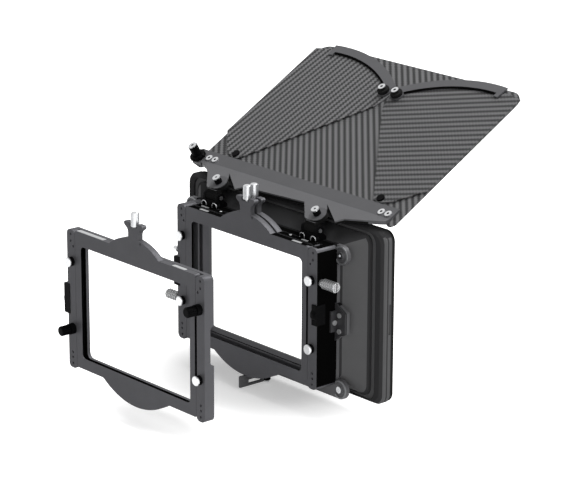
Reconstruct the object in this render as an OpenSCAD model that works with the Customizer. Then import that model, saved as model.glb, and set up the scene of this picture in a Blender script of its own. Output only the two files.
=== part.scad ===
// Studio matte box for a film camera: a shallow flared shade on a filter module with
// two lift-out filter trays, one more filter stage that docks behind it, and a tilting
// top flag with two swing-out wings.
// X is right as the camera operator sees it, Y is forward to the scene, Z is up.
// The origin is the centre of the module's rear window, on its rear face.
// The stage stands apart from the module, as it is photographed, and slides on to it.

/* [Filter window] */
// Clear width of every filter window
window_w = 136; // [100:1:150]
// Clear height of every filter window
window_h = 92.5; // [70:0.5:110]
// Width of the filters that the trays hold
filter_w = 143.5; // [110:0.5:160]
// Height of the filters that the trays hold
filter_h = 101.6; // [80:0.1:120]
// Thickness of the filters
filter_t = 4; // [3:0.1:5]

/* [Trays] */
// Width of a filter tray
tray_w = 150; // [120:1:170]
// Thickness of a filter tray
tray_t = 5.2; // [4.5:0.1:7]
// Distance from one tray to the next in the module
tray_pitch = 7.1; // [6:0.1:10]
// Height of a tray's straight top edge over the window centre
tray_top = 57.5; // [50:0.5:75]
// Depth of a tray's straight bottom edge under the window centre
tray_low = 55.2; // [48:0.1:65]
// Radius of the round adapter seat at the bottom of trays and plates
seat_r = 71.5; // [60:0.5:80]
// Height of the horned handle over the window centre
horn_top = 80.4; // [75:0.2:95]
// Gap between a tray and the rails that guide it
tray_gap = 0.3; // [0.2:0.05:0.6]

/* [Rails] */
// Width of the module over its two side rails
body_w = 172; // [150:1:200]
// Height of the rail tops over the window centre
rail_top = 57.5; // [50:0.5:75]
// Depth of the rail ends under the window centre
rail_low = 57.4; // [50:0.1:75]
// Radius of the rails' outer corners
rail_corner = 4; // [1:0.5:8]
// Depth of the module from its rear face to the front flange
module_d = 20.2; // [18:0.2:30]
// Width of the stage over its side rails
stage_w = 171.2; // [150:0.2:200]
// Depth of the docking stage
stage_d = 9; // [8.6:0.1:15]
// Distance from the module's rear face to the stage's rear face, as photographed
stage_away = 111.2; // [20:0.2:130]

/* [Docking studs] */
// Distance of the studs from the middle
stud_x = 79.4; // [78:0.1:84]
// Height of the upper studs
stud_high = 31.5; // [20:0.5:40]
// Depth of the lower studs
stud_low = 24.1; // [15:0.1:40]
// Radius of a stud's shank
stud_r = 3.7; // [2.5:0.1:4]
// Radius of a stud's cap
cap_r = 4.05; // [3:0.05:4.2]
// Length of a stud with its cap
stud_len = 4.6; // [3:0.2:7]

/* [Shade] */
// Width of the shade's front rim
hood_w = 239.4; // [200:0.2:280]
// Height of the shade's front rim
hood_h = 141; // [120:0.2:180]
// Distance from the module's rear face to the shade's front edge
hood_front = 50.2; // [40:0.2:90]
// Width of the flared wall where it meets the rim
flare_w = 213; // [180:0.5:230]
// Height of the flared wall where it meets the rim
flare_h = 132; // [110:0.5:140]
// Wall thickness of the shade
hood_wall = 2.6; // [1.5:0.1:4]
// Radius of the rim's corners
hood_corner = 9; // [4:0.5:20]

/* [Flag] */
// Tilt of the top flag over the level
flag_tilt = 29.8; // [0:0.1:80]
// Tilt of the flat bracket plate behind the flag
plate_tilt = 10.9; // [5:0.1:25]
// Width of the flag's carbon base plate
flag_w = 241; // [180:1:280]
// Distance from the hinge line to the flag's far edge, along the flag
flag_far = 193.3; // [120:0.5:240]
// Radius of the flag's far corners
flag_corner = 13; // [3:0.5:25]
// Distance of the two hinges from the middle
hinge_x = 60.2; // [50:0.2:70]
// Distance of the hinge line in front of the module's rear face
hinge_y = 17.5; // [15:0.1:22]
// Distance of a wing's pivot from the middle
pivot_x = 87.7; // [70:0.2:100]
// Distance of a wing's pivot from the hinge line, along the flag
pivot_v = 51; // [50:0.2:70]
// Inner radius of the arc guides, from the wing's pivot
arc_in = 134.8; // [120:0.2:150]
// Outer radius of the arc guides
arc_out = 143; // [125:0.2:155]

/* [Joints and clearances] */
// Radial running clearance of turning pins
run_gap = 0.06; // [0.02:0.01:0.1]
// Clearance between parts that move past each other
free_gap = 0.4; // [0.3:0.05:1]

/* [Choice] */
// Which sub-part to build

/* [Hidden] */
// roundness of bores and pins
fn_round = 48;
// roundness of hulled corners
fn_hull = 32;
// small overlap that keeps cuts open
e = 0.01;
half = body_w / 2;
tray_half = tray_w / 2;
rail_in = tray_half + tray_gap;
tongue = 0.95;
tongue_t = 1.2;
tongue_y = 2;
pocket_w = filter_w + 0.3;
pocket_h = filter_h + 0.3;
pocket_d = filter_t + 0.1;
tray2_y = tray_pitch;
front_plate_y = tray2_y + tray_t + 0.9;
flange_t = 3;
flange_y = module_d + flange_t;
flange_low = 67.3;
ear_x = 91;
ear_r = 7.8;
ear_high = 50.2;
ear_low = 59.5;
stage_rear = -stage_away;
stage_front = stage_rear + stage_d;
stage_half = stage_w / 2;
stage_plate_y = stage_rear + tray_t + free_gap;
flare_y = 38.8;
rim_y = 41;
lip_y = hood_front - 3;
slope_low = 51.3;
// the hinge line clears the rails, and lifts the flag over the shade's rim
hinge_z = max(rail_top + 8, hood_h / 2 - 5);
knuckle_r = 3.8;
hinge_pin_r = 1.6;
block_y = 13;
// heights over the hinge line, square to the flag
base_low_w = -7.4;
base_top_w = -5.9;
plate_top_w = -3.9;
wing_low_w = -5.6;
wing_top_w = -4.5;
arc_low_w = -4.2;
arc_top_w = -3;
margin_v = 34.1;
metal_far_v = 46;
wing_nose = 4.5;
wing_far = 139;
post_x = flag_w / 2 + 0.5;
post_v = 36.3;
lock_x = 7.8;
lock_v = 156.7;
steel = [0.80, 0.81, 0.82];
anodised = [0.30, 0.30, 0.31];
black = [0.08, 0.08, 0.085];
moulded = [0.16, 0.16, 0.165];
carbon = [0.36, 0.36, 0.37];

// Helpers

// both sides of the middle plane
module both() {
  children();
  mirror([1, 0, 0]) children();
}

// rectangle with round corners, from the left, right, low and high edges
module round_rect(x0, x1, z0, z1, r) {
  translate([x0 + r, z0]) square([x1 - x0 - 2 * r, z1 - z0]);
  translate([x0, z0 + r]) square([x1 - x0, z1 - z0 - 2 * r]);
  for (x = [x0 + r, x1 - r], z = [z0 + r, z1 - r])
    translate([x, z]) circle(r, $fn = fn_round);
}

// a flat outline in X and Z, raised from y0 to y1
module upright(y0, y1) {
  translate([0, y1, 0]) rotate([90, 0, 0]) linear_extrude(y1 - y0) children();
}

// a round pin along Y from y0 to y1
module pin_y(x, z, y0, y1, r, sides = fn_round) {
  translate([x, y1, z]) rotate([90, 0, 0]) cylinder(r = r, h = y1 - y0, $fn = sides);
}

// a round pin along X from x0 to x1
module pin_x(x0, x1, y, z, r, sides = fn_round) {
  translate([x0, y, z]) rotate([0, 90, 0]) cylinder(r = r, h = x1 - x0, $fn = sides);
}

// a turned knob along Z with straight knurling: a core and a ring of fine ribs
module knurled(r, h, ribs = 20) {
  rib = PI * r / ribs;
  cylinder(r = r - 0.35, h = h, $fn = fn_round);
  for (i = [0:ribs - 1])
    rotate([0, 0, 360 * i / ribs])
      translate([r - 0.8, -rib / 2, 0.4]) cube([0.8, rib, h - 0.8]);
}

// the window that every plate has
module window_cut(grow = 0, r = 3) {
  round_rect(-window_w / 2 - grow, window_w / 2 + grow,
    -window_h / 2 - grow, window_h / 2 + grow, r);
}

// the round adapter seat that hangs under the straight bottom edge
module seat_arc(r, edge) {
  intersection() {
    translate([0, 3.5]) circle(r, $fn = 180);
    translate([-r, -r - 2]) square([2 * r, r + 2 - edge + 1]);
  }
}

// the arched hump that carries the handle and ends sharply on the straight edge
hump_r = 50;
hump_high = tray_top + 10.5;
module hump() {
  intersection() {
    translate([0, hump_high - hump_r]) circle(hump_r, $fn = 240);
    translate([-hump_r, tray_top - 1.5]) square([2 * hump_r, hump_r]);
  }
}

// the neck and the two horns that guard the knob
neck = 6.35;
horn = 11.3;
module horns() {
  translate([-neck, hump_high - 2]) square([2 * neck, 8]);
  polygon([[-neck, 72], [-neck - 0.3, 73.6], [-neck - 1.4, 75.4], [-horn + 0.3, 77.6],
    [-horn, 78.4], [-horn, 79.5], [-horn + 0.9, horn_top], [-5.2, horn_top], [-4, knob_seat],
    [4, knob_seat], [5.2, horn_top], [horn - 0.9, horn_top], [horn, 79.5], [horn, 78.4],
    [horn - 0.3, 77.6], [neck + 1.4, 75.4], [neck + 0.3, 73.6], [neck, 72]]);
}

// Filter tray with its rear face at y = 0: this form takes the most skill. The plate,
// the arched hump, the horned handle and the hanging seat are one outline; the filter
// pocket, the window, the side tongues and the screw's path are then worked from the front.
knob_seat = 77.2;
module tray(y0) {
  translate([0, y0, 0]) difference() {
    union() {
      upright(0, tray_t) {
        round_rect(-tray_half, tray_half, -tray_low, tray_top, 1.5);
        seat_arc(seat_r, tray_low);
        hump();
      }
      upright(0, 4.3) horns();
      both() translate([tray_half - 1, tongue_y, -50])
        cube([1 + tongue, tongue_t, 100]);
    }
    upright(-1, tray_t + 1) window_cut(0, 4);
    translate([-pocket_w / 2, tray_t - pocket_d, -pocket_h / 2])
      cube([pocket_w, pocket_d + 1, pocket_h]);
    // path of the clamp screw from the handle into the pocket
    translate([0, 2.15, pocket_h / 2 - 1])
      cylinder(r = 1.4 + run_gap, h = 40, $fn = fn_round);
    // the small sight hole beside the handle
    pin_y(8.3, hump_high - 2.4, -1, tray_t + 1, 1);
  }
}

// knurled clamp screw that stands between the horns
knob_h = 10.8;
// how far each clamp screw is turned out of its seat
module_lift = 1.9;
stage_lift = 0.4;
module tray_knob(y0, lift) {
  translate([0, y0 + 2.15, knob_seat + lift]) {
    knurled(3.35, knob_h, 18);
    translate([0, 0, knob_h - 0.2]) cylinder(r1 = 2.95, r2 = 2.4, h = 0.7, $fn = fn_round);
    translate([0, 0, -knob_seat + pocket_h / 2 - lift - 0.2])
      cylinder(r = 1.4, h = knob_seat - pocket_h / 2 + lift + 0.8, $fn = fn_round);
  }
}

// grooves for one tray's tongues
module tray_groove(y0) {
  groove = tongue_t + 2 * tray_gap;
  both() translate([rail_in - 1, y0 + tongue_y - tray_gap, -50 - tray_gap])
    cube([1 + tongue + 0.05, groove, 200]);
}

// dowel holes at the rail ends
module corner_holes(y, x) {
  for (p = [[80.8, 53.7], [80.7, 48.1], [77.7, 44.3]])
    both() pin_y(p[0] + x, p[1], y - 1, y + 1.6, 1.1);
  for (p = [[80.7, 44.3], [80.8, 48.5], [80.5, 53.6]])
    both() pin_y(p[0] + x, -p[1], y - 1, y + 1.6, 1.1);
}

// where the four studs stand: [side, height]
stud_places = [[-1, stud_high], [1, stud_high], [-1, -stud_low], [1, -stud_low]];

// The filter module

module module_frame() color(anodised) difference() {
  union() {
    both() upright(0, module_d)
      round_rect(rail_in, half, -rail_low, rail_top, rail_corner);
    upright(front_plate_y, module_d) {
      round_rect(-half + 2, half - 2, -tray_low - 2, rail_top, 2);
      seat_arc(seat_r - 0.5, tray_low);
    }
  }
  upright(front_plate_y - 1, module_d + 1) window_cut(1.5, 5);
  // square the inner edges of the rails
  both() translate([rail_in - 12, -1, -rail_low - 1])
    cube([12, front_plate_y + 1, 200]);
  tray_groove(0);
  tray_groove(tray2_y);
  corner_holes(0, 0);
  for (p = stud_places) pin_y(p[0] * stud_x, p[1], -1, 2, stud_r);
  // seats of the two side screws
  pin_x(half - 5.5, half + 1, side_y, side_high, side_bore);
  pin_x(-half - 1, -half + 5.5, side_y, -side_low, side_bore);
  // seat of the right catch and of the left latch
  translate([catch_x0, -1, catch_z0]) cube([20, catch_y1 + 1, catch_z1 - catch_z0]);
  latch_seat(-half, -latch_proud);
  pin_x(-half - 1, -half + 7, pull_y, pull_high, pull_bore);
  // seats of the hinge blocks
  both() translate([hinge_x - block_half, front_plate_y - 1, block_low])
    cube([2 * block_half, 20, 20]);
  both() for (x = block_screw_x)
    pin_y(x, block_screw_z, block_y - 1, block_y + block_screw_d + 0.1, block_screw_r + run_gap);
}

side_y = 4.2;
side_high = 30.2;
side_low = 24.7;
side_bore = 1.7 + run_gap;

// front flange with the four screw ears
module flange_outline() {
  round_rect(-half - 0.5, half + 0.5, -flange_low, rail_top, 2);
  both() for (z = [ear_high, -ear_low]) {
    translate([ear_x, z]) circle(ear_r, $fn = fn_round);
    translate([half - 6, z - ear_r]) square([ear_x - half + 6, 2 * ear_r]);
  }
  both() polygon([[half - 4, -24], [half + 5, -15.5], [half + 12, -12.5], [half + 12, 4.5],
    [half + 4, 9.2], [half - 4, 12.4]]);
}
module front_flange() color(black) difference() {
  union() {
    upright(module_d, flange_y) flange_outline();
    // lug that takes the foot stud
    translate([foot_x - 5, module_d, -lug_low]) cube([10, foot_y + 3.6 - module_d, lug_low - 63.3]);
  }
  upright(module_d - 1, flange_y + 1) window_cut(2, 5);
  both() for (z = [ear_high, -ear_low]) pin_y(ear_x, z, module_d - 1, flange_y + 1, 1.5);
  both() for (z = [1.9, -11.2]) pin_y(side_screw_x, z, module_d - 1, flange_y + 1, 1.2);
  translate([foot_x, foot_y, -lug_low - 1]) cylinder(r = foot_pin_r, h = 5, $fn = fn_round);
}

module flange_screws() color(steel) both() for (z = [ear_high, -ear_low]) difference() {
  union() {
    pin_y(ear_x, z, module_d - 1.6, module_d, 2.7);
    pin_y(ear_x, z, module_d - 0.1, flange_y, 1.5);
  }
  pin_y(ear_x, z, module_d - 2, module_d - 0.7, 1.2, 6);
}

// raised rings of the ears
module ear_rings() color(steel) both() for (z = [ear_high, -ear_low]) difference() {
  pin_y(ear_x, z, module_d - 0.8, module_d, ear_r - 0.2);
  pin_y(ear_x, z, module_d - 1, module_d + 1, ear_r - 1.5);
  // flat where the rail passes
  translate([ear_x - 20, 0, z - 20]) cube([half - ear_x + 20 + 0.05, 40, 40]);
}

// angle brackets between the rails and the flange
side_screw_x = 91.5;
bracket_t = 1.6;
module side_brackets() color(black) both() difference() {
  union() {
    upright(module_d - bracket_t, module_d)
      polygon([[half, 11], [half + 4, 9], [half + 11.6, 4.3], [half + 11.6, -12.3],
        [half + 5, -15], [half, -20]]);
    translate([half, module_d - 7, -12]) cube([bracket_t, 7, 17]);
  }
  for (z = [1.9, -11.2]) pin_y(side_screw_x, z, module_d - 3, module_d + 1, 1.2);
}
module side_bracket_screws() color(steel) both() {
  for (z = [1.9, -11.2]) {
    pin_y(side_screw_x, z, module_d - bracket_t - 1, module_d - bracket_t, 2);
    pin_y(side_screw_x, z, module_d - bracket_t - 0.1, flange_y, 1.2);
  }
  pin_x(half + bracket_t, half + bracket_t + 1, module_d - 3.6, -4.5, 2);
}

// The shade

// thin slab with round corners, a station of the flared shade
module station(w, h, y, r, mid = 0, t = 0.02) {
  upright(y, y + t) round_rect(-w / 2, w / 2, mid - h / 2, mid + h / 2, r);
}
flare_mid = (rail_top - slope_low) / 2 - 0.4;
flare_root_h = rail_top + slope_low - 0.8;
module flare(grow, r) {
  hull() {
    station(body_w + 2 * grow, flare_root_h + 2 * grow, flange_y, r, flare_mid);
    station(flare_w + 2 * grow, flare_h + 2 * grow, flare_y - 0.02, r + 3);
  }
}
module hood() color(moulded) difference() {
  union() {
    flare(0, 5);
    // rounded shoulder of the rim
    hull() {
      station(hood_w - 6, hood_h - 5, flare_y - 1.2, hood_corner);
      station(hood_w - 1.6, hood_h - 1.4, flare_y + 0.6, hood_corner);
      station(hood_w, hood_h, rim_y, hood_corner);
    }
    upright(rim_y, lip_y)
      round_rect(-hood_w / 2, hood_w / 2, -hood_h / 2, hood_h / 2, hood_corner);
  }
  // cove where the flare meets the rim
  difference() {
    upright(flare_y - 2, flare_y + 0.8)
      round_rect(-flare_w / 2 - 4.6, flare_w / 2 + 4.6, -flare_h / 2 - 2.2, flare_h / 2 + 2.2, 9);
    upright(flare_y - 3, flare_y + 1)
      round_rect(-flare_w / 2 + 0.6, flare_w / 2 - 0.6, -flare_h / 2 + 0.4, flare_h / 2 - 0.4, 7.5);
  }
  // hollow of the flare and of the rim
  hull() {
    station(body_w - 2 * hood_wall, flare_root_h - 2 * hood_wall, flange_y - 0.1, 4, flare_mid);
    station(flare_w - 2 * hood_wall, flare_h - 2 * hood_wall, flare_y + 2.4, 7);
  }
  upright(flare_y + 2.3, hood_front + 1)
    round_rect(-hood_w / 2 + hood_wall, hood_w / 2 - hood_wall,
      -hood_h / 2 + hood_wall, hood_h / 2 - hood_wall, hood_corner - hood_wall);
  // slit in each side of the rim
  both() translate([hood_w / 2 - 1, 44.2, -12.2]) cube([3, 2.2, 24.4]);
}
module hood_lip() color(black) upright(lip_y, hood_front) difference() {
  round_rect(-hood_w / 2 + 0.5, hood_w / 2 - 0.5, -hood_h / 2 + 0.5, hood_h / 2 - 0.5,
    hood_corner - 0.5);
  round_rect(-hood_w / 2 + hood_wall - 0.4, hood_w / 2 - hood_wall + 0.4,
    -hood_h / 2 + hood_wall - 0.4, hood_h / 2 - hood_wall + 0.4, hood_corner - hood_wall);
}

// The flag hinge on the module

ear_t = 2.9;
knuckle_half = 5.8;
block_half = knuckle_half + 0.3 + ear_t;
module hinge_block() {
  difference() {
    union() {
      translate([hinge_x - block_half, block_y, block_low])
        cube([2 * block_half, module_d - block_y, rail_top - block_low]);
      translate([hinge_x - block_half, block_y, rail_top])
        cube([2 * block_half, 11, 5.6]);
      for (x = [hinge_x - block_half, hinge_x + block_half - ear_t]) {
        pin_x(x, x + ear_t, hinge_y, hinge_z, knuckle_r);
        translate([x, hinge_y - knuckle_r, rail_top]) cube([ear_t, 2 * knuckle_r, hinge_z - rail_top]);
      }
    }
    pin_x(hinge_x - knuckle_half - 0.3, hinge_x + knuckle_half + 0.3, hinge_y, hinge_z,
      knuckle_r + free_gap);
    pin_x(hinge_x - 20, hinge_x + 20, hinge_y, hinge_z, hinge_pin_r);
    // chamfered top front edge
    translate([hinge_x - 20, block_y + 11, rail_top + 2.6]) rotate([45, 0, 0]) cube([40, 6, 6]);
    for (x = block_screw_x)
      pin_y(x, block_screw_z, block_y - 1, block_y + block_screw_d, block_screw_r);
  }
}
block_low = rail_top - 2.9;
block_screw_off = 6.5;
block_screw_x = [hinge_x - block_screw_off, hinge_x + block_screw_off];
block_screw_z = rail_top + 1;
block_screw_r = 3.4;
block_screw_d = 3.4;
module hinge_blocks() color(black) both() hinge_block();
module hinge_pins() color(steel) both()
  pin_x(hinge_x - block_half - 0.6, hinge_x + block_half + 0.6, hinge_y, hinge_z, hinge_pin_r);
module hinge_block_screws() color(steel) both() for (x = block_screw_x) difference() {
  pin_y(x, block_screw_z, block_y - 0.25, block_y + block_screw_d, block_screw_r);
  pin_y(x, block_screw_z, block_y - 1, block_y + 1.6, 1.7, 6);
}

// Studs, catch, latch and side screws of the module

cap_t = 1.4;
// black shank of a stud that stands out of the face at y
module stud_shank(x, z, y, seat) pin_y(x, z, y - stud_len + cap_t, y + seat, stud_r);
// bright cap of a stud
module stud_cap(x, z, y, r) color(steel) translate([x, y - stud_len + cap_t, z]) rotate([90, 0, 0]) {
  cylinder(r = r, h = 0.9, $fn = fn_round);
  translate([0, 0, 0.9]) cylinder(r1 = r, r2 = r - 0.5, h = 0.5, $fn = fn_round);
}
module module_studs() color(black) for (p = stud_places) stud_shank(p[0] * stud_x, p[1], 0, 2);
module module_stud_caps() for (p = stud_places) stud_cap(p[0] * stud_x, p[1], 0, cap_r);

catch_x0 = 81;
catch_y1 = 8;
catch_z0 = -4;
catch_z1 = 12.5;
module module_catch() color(black) {
  translate([catch_x0, -1.2, catch_z0]) cube([half - catch_x0 + 0.8, catch_y1 + 1.2, catch_z1 - catch_z0]);
  // round hook that reaches into the stage's recess
  intersection() {
    pin_x(catch_x0, half + 0.8, 2, (catch_z0 + catch_z1) / 2, 4.8);
    translate([0, -10, -20]) cube([100, 12, 60]);
  }
}

latch_low = -12.8;
latch_high = 12;
latch_out = 4.6;
latch_in = 2.8;
latch_proud = 0.4;
latch_d = 7.6;
pull_y = 4;
pull_high = 16.5;
pull_low = -3;
pull_r = 1.4;
pull_head_r = 2.3;
pull_bore = pull_r + run_gap;
// latch block let into a left side face at x0, with its rear face at y0
module latch_block(x0, y0) upright(y0, y0 + latch_d)
  round_rect(x0 - latch_out, x0 + latch_in, latch_low, latch_high, 1);
// pocket for a latch block
module latch_seat(x0, y0) translate([x0 - 1, y0 - 1, latch_low])
  cube([latch_in + 1, latch_d + 1, latch_high - latch_low]);
// bright pull pin along X with its head free of the side face by the given gap
module pull_pin(x0, y, z, gap) {
  pin_x(x0 - gap - 4, x0 + latch_in + 2, y, z, pull_r);
  pin_x(x0 - gap - 4, x0 - gap, y, z, pull_head_r);
}
module module_latch() color(black) latch_block(-half, -latch_proud);
module module_pull_pin() color(steel) pull_pin(-half, pull_y, pull_high, pull_travel + 1);
pull_travel = 3;

// thumb screw along +X with its collar against the side face at x = half
module thumb_screw(len, slot) {
  difference() {
    union() {
      translate([0, 0, -5.2]) cylinder(r = 1.7, h = 6, $fn = fn_round);
      translate([0, 0, free_gap]) cylinder(r = 3, h = 3.2, $fn = fn_round);
      translate([0, 0, 3.4]) knurled(4.1, len - 3.4, 22);
      translate([0, 0, len - 0.2]) cylinder(r1 = 3.7, r2 = 3, h = 0.8, $fn = fn_round);
    }
    if (slot) translate([-5, -0.5, len - 0.9]) cube([10, 1, 3]);
  }
}
module side_screw_right() color(steel)
  translate([half, side_y, side_high]) rotate([0, 90, 0]) thumb_screw(17.4, true);
module side_screw_left() color(steel)
  translate([-half, side_y, -side_low]) rotate([0, -90, 0]) thumb_screw(17.4, true);

// The foot bracket under the module: a slotted plate on edge with its clamp knob

foot_x = -3.2;
foot_y = 25.2;
foot_pin_r = 1.4;
lug_low = 69;
arm_low = 78.6;
arm_t = 2;
tab_r = 3.6;
knob_low = 78;
module foot_arm() color(anodised) difference() {
  union() {
    translate([foot_x - arm_t / 2, -3.4, -arm_low]) cube([arm_t, 25.2, arm_low - lug_low]);
    translate([foot_x, foot_y, -lug_low - arm_t]) cylinder(r = tab_r, h = arm_t, $fn = fn_round);
    translate([foot_x - tab_r, 21, -lug_low - arm_t]) cube([2 * tab_r, foot_y - 21, arm_t]);
  }
  // slot for the clamp of a lower side flag
  translate([foot_x - 5, 5.6, -76.6]) cube([10, 13.6, 3.2]);
  translate([foot_x, foot_y, -lug_low - arm_t - 1]) cylinder(r = foot_pin_r, h = 5, $fn = fn_round);
}
module foot_stud() color(steel) {
  translate([foot_x, foot_y, -arm_low - 1]) cylinder(r = foot_pin_r, h = arm_low + 1 - 65, $fn = fn_round);
  translate([foot_x, foot_y, -arm_low - 1]) cylinder(r = 2.4, h = 1.2, $fn = fn_round);
}
module foot_knob() color(black) difference() {
  translate([foot_x, foot_y, -knob_low]) knurled(3.3, knob_low - lug_low - arm_t - free_gap, 12);
  translate([foot_x, foot_y, -arm_low]) cylinder(r = foot_pin_r + run_gap, h = 20, $fn = fn_round);
}

// The trays of the module

module rear_tray() color(anodised) tray(0);
module rear_tray_knob() color(steel) tray_knob(0, module_lift);
module front_tray() color(anodised) tray(tray2_y);
module front_tray_knob() color(steel) tray_knob(tray2_y, module_lift);

// The docking stage

module stage_frame() color(anodised) difference() {
  union() {
    both() upright(stage_rear, stage_front)
      round_rect(rail_in, stage_half, -rail_low, rail_top, rail_corner);
    upright(stage_plate_y, stage_front) {
      round_rect(-stage_half + 2, stage_half - 2, -tray_low - 2, rail_top, 2);
      seat_arc(seat_r - 0.5, tray_low);
    }
  }
  upright(stage_plate_y - 1, stage_front + 1) window_cut(1.5, 5);
  both() translate([rail_in - 12, stage_rear - 1, -rail_low - 1])
    cube([12, stage_plate_y - stage_rear + 1, 200]);
  tray_groove(stage_rear);
  corner_holes(stage_rear, -0.1);
  // pockets that take the module's studs
  for (p = stud_places)
    pin_y(p[0] * stud_x, p[1], stage_front - stud_len - 0.6, stage_front + 1, cap_r + free_gap);
  // seats of its own studs and of the two lock knobs
  for (p = stud_places)
    pin_y(p[0] * stud_x, p[1], stage_rear - 1, stage_rear + 0.8, stud_r);
  // slot in the right rail between the lock knob and the stud
  translate([rail_in - 1, stage_rear - 1, -stud_low])
    cube([1 + rail_slot, 1 + 1.7, stud_high + stud_low]);
  // recess that clears the module's catch
  for (z = [14.8, -9.8])
    pin_x(catch_x0 - 0.6, 100, stage_front, z, recess_d);
  translate([catch_x0 - 0.6, stage_front - recess_d, -9.8]) cube([20, 10, 24.6]);
  latch_seat(-stage_half, stage_rear - latch_proud);
  pin_x(-stage_half - 1, -stage_half + 7, stage_rear + pull_y, pull_low, pull_bore);
}

recess_d = 3.4;
rail_slot = 1;
// the stage carries two fixed studs and two lock knobs, crosswise
stage_stud_places = [stud_places[0], stud_places[3]];
stage_lock_places = [stud_places[1], stud_places[2]];
module stage_studs() color(black) for (p = stage_stud_places)
  stud_shank(p[0] * stud_x, p[1], stage_rear, 0.8);
stage_cap_r = cap_r - 0.2;
module stage_stud_caps() for (p = stage_stud_places)
  stud_cap(p[0] * stud_x, p[1], stage_rear, stage_cap_r);
bush_len = 4.4;
module stage_bushes() color(black) for (p = stage_lock_places) difference() {
  union() {
    pin_y(p[0] * stud_x, p[1], stage_rear - bush_len, stage_rear, 4.4);
    pin_y(p[0] * stud_x, p[1], stage_rear - 1, stage_rear + 0.8, stud_r);
  }
  pin_y(p[0] * stud_x, p[1], stage_rear - bush_len - 1, stage_rear - 0.6, 2 + run_gap);
}
module lock_knob(p) translate([p[0] * stud_x, stage_rear - bush_len - free_gap, p[1]])
  rotate([90, 0, 0]) {
    knurled(4, 7.6, 20);
    translate([0, 0, 7.4]) cylinder(r1 = 3.5, r2 = 2.9, h = 0.7, $fn = fn_round);
    translate([0, 0, -3.6]) cylinder(r = 2, h = 4, $fn = fn_round);
  }
module stage_knob_upper() color(black) lock_knob(stage_lock_places[0]);
module stage_knob_lower() color(black) lock_knob(stage_lock_places[1]);
module stage_latch() color(black) difference() {
  latch_block(-stage_half, stage_rear - latch_proud);
  pin_x(-stage_half - 10, -stage_half + 10, stage_rear + pull_y, pull_low, pull_bore);
}
module stage_pull_pin() color(steel)
  pull_pin(-stage_half, stage_rear + pull_y, pull_low, latch_out + free_gap);
module stage_tray() color(anodised) tray(stage_rear);
module stage_tray_knob() color(steel) tray_knob(stage_rear, stage_lift);

// The top flag

// places its children in the flag's own frame: X across, Y along the flag, Z off it,
// with the hinge line through the origin
module on_flag() translate([0, hinge_y, hinge_z]) rotate([flag_tilt, 0, 0]) children();
// the flat rear plate's frame: its top face, from its rear edge
plate_y = hinge_y - 3.5;
plate_z = hinge_z + 6.85;
module on_plate() translate([0, plate_y, plate_z]) rotate([plate_tilt, 0, 0]) children();

plate_t = 3;
plate_bend = 35.4;
metal_right = flag_w / 2 - 6.5;
metal_left = flag_w / 2 + 9.5;
// rear edge of the bracket plate round one hinge lobe: [offset from the hinge, run]
lobe_edge = [[-31.3, 23], [-11, 5.2], [-8.6, 3.1], [-5.6, 2], [-2, 2], [0.6, 3.3], [2, 6],
  [2, 10.4], [-0.4, 16], [-4.4, 23], [-11.2, 29.4], [18.6, 10.2], [21.8, 17.2]];
module flag_bracket() color(anodised) difference() {
  union() {
    on_plate() translate([0, 0, -plate_t]) linear_extrude(plate_t) polygon(concat(
      [[-metal_right + 2, plate_bend + 0.6], [-metal_right + 2, 33], [-102, 29.6]],
      [for (p = lobe_edge) [p[0] - hinge_x, p[1]]],
      [for (p = lobe_edge) [p[0] + hinge_x, p[1]]],
      [[110, 28.8], [metal_right, 31], [metal_right, plate_bend + 0.6]]));
    on_flag() translate([0, 0, base_top_w])
      linear_extrude(plate_top_w - base_top_w) difference() {
        union() {
          polygon([[-metal_left + 5, metal_far_v], [-metal_left + 3, metal_far_v - 2],
            [-metal_left + 3, post_v], [-post_x, post_v - ear_round],
            [-metal_right + 2, margin_v - 4], [-metal_right + 2, margin_v - 0.4],
            [metal_right, margin_v - 0.4], [metal_right, metal_far_v]]);
          translate([-post_x, post_v]) circle(ear_round, $fn = fn_round);
        }
        translate([-post_x, post_v]) circle(post_r, $fn = fn_round);
      }
    // hinge lobes, square to the flag, and the knuckles under them
    for (s = [-1, 1]) {
      translate([s * hinge_x, lobe_y, lobe_z]) rotate([flag_tilt, 0, 0])
        translate([0, 0, -4.4]) cylinder(r = 7.4, h = 4.4, $fn = fn_round);
      pin_x(s * hinge_x - knuckle_half, s * hinge_x + knuckle_half, hinge_y, hinge_z, knuckle_r);
      translate([s * hinge_x - knuckle_half, hinge_y - 2.2, hinge_z])
        cube([2 * knuckle_half, 6, 6]);
    }
  }
  for (s = [-1, 1])
    pin_x(s * hinge_x - 20, s * hinge_x + 20, hinge_y, hinge_z, hinge_pin_r + run_gap);
  on_flag() for (p = plate_screws)
    translate([p[0], p[1], base_top_w - 1]) cylinder(r = 1.5, h = 6, $fn = fn_round);
}
lobe_y = hinge_y + 5.2;
lobe_z = hinge_z + 10.7;
ear_round = 6;
screw_in = [19.5, 11.9];
plate_screws = [for (s = [-1, 1], d = screw_in) [s * (flag_w / 2 - d), 38.2]];

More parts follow.
